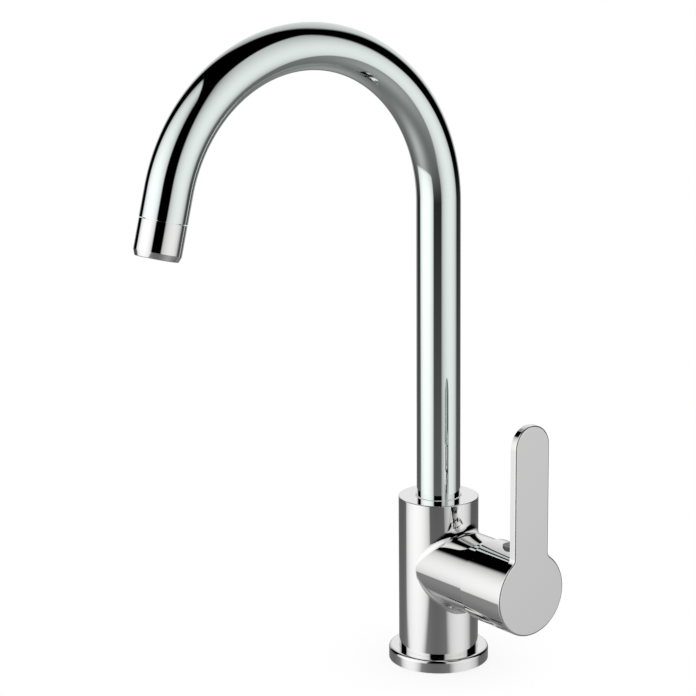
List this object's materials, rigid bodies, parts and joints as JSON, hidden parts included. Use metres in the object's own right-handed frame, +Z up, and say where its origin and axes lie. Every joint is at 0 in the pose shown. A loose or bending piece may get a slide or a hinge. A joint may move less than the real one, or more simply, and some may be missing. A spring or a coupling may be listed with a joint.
{
  "type": "three way filtered water tap",
  "caption": "Single-lever kitchen mixer with a tall swivelling arched spout that keeps filtered water apart, a side valve barrel and an upright paddle lever.",
  "frame": {"origin": "centre of the gasket's underside, on the axis of the upright body at the worktop's surface", "axes": "+Z up along the body and the spout's swivel axis, +X along the valve barrel towards the lever, -Y towards the sink, the way the spout reaches"},
  "size_m": [0.113, 0.2354, 0.4451],
  "materials": {
    "polished_chrome": "bright chrome plate on brass",
    "plain_brass": "turned brass",
    "plain_steel": "stainless steel",
    "black_rubber": "matt rubber",
    "white_plastic": "moulded acetal",
    "white_ceramic": "lapped ceramic",
    "dark_grey_plastic": "smooth moulded cap"
  },
  "bodies": {
    "tap_body": {"body_casting": "polished_chrome", "base_flange": "polished_chrome", "base_gasket": "black_rubber", "glide_ring": "white_plastic", "swivel_stop_screw": "plain_steel", "cartridge_base": "white_plastic", "port_seals": "black_rubber", "fixed_disc": "white_ceramic", "cartridge_housing": "white_plastic", "cartridge_nut": "plain_brass", "cartridge_dome": "polished_chrome", "inlet_connector_hot": "plain_brass", "inlet_connector_cold": "plain_brass", "inlet_connector_filtered": "plain_brass", "mounting_stud": "plain_steel", "horseshoe_pad": "black_rubber", "horseshoe_washer": "plain_steel", "mounting_nut": "plain_steel"},
    "spout": {"spout_tube": "polished_chrome", "spout_fitting": "plain_brass", "spout_seals": "black_rubber", "filter_tube": "white_plastic", "filter_plug": "plain_brass", "filter_plug_seal": "black_rubber", "outlet_insert": "plain_brass", "outlet_collar": "polished_chrome", "outlet_washer": "black_rubber", "aerator_insert": "white_plastic", "filter_nozzle": "plain_brass"},
    "carrier": {"stem_carrier": "white_plastic", "carrier_pin": "plain_steel"},
    "disc": {"moving_disc": "white_ceramic"},
    "lever": {"lever_handle": "polished_chrome", "lever_stem": "plain_brass", "lever_set_screw": "plain_steel", "index_plug": "dark_grey_plastic"}
  },
  "joints": [
    {"name": "spout_swivel", "type": "hinge", "parent": "tap_body", "child": "spout", "pos_m": [0, 0, 0.08], "axis": [0, 0, 1], "range_deg": [-75, 75]},
    {"name": "lever_turn", "type": "hinge", "parent": "tap_body", "child": "carrier", "pos_m": [0.045, 0, 0.062], "axis": [1, 0, 0], "range_deg": [-50, 50]},
    {"name": "lever_tilt", "type": "hinge", "parent": "carrier", "child": "lever", "pos_m": [0.045, 0, 0.062], "axis": [0, 1, 0], "range_deg": [0, 20]},
    {"name": "disc_slide", "type": "slide", "parent": "carrier", "child": "disc", "axis": [0, 0, 1], "range_m": [0, 0.006]}
  ],
  "couplings": [
    {"joint": "disc_slide", "follows": "lever_tilt", "m_per_rad": 0.01691}
  ]
}
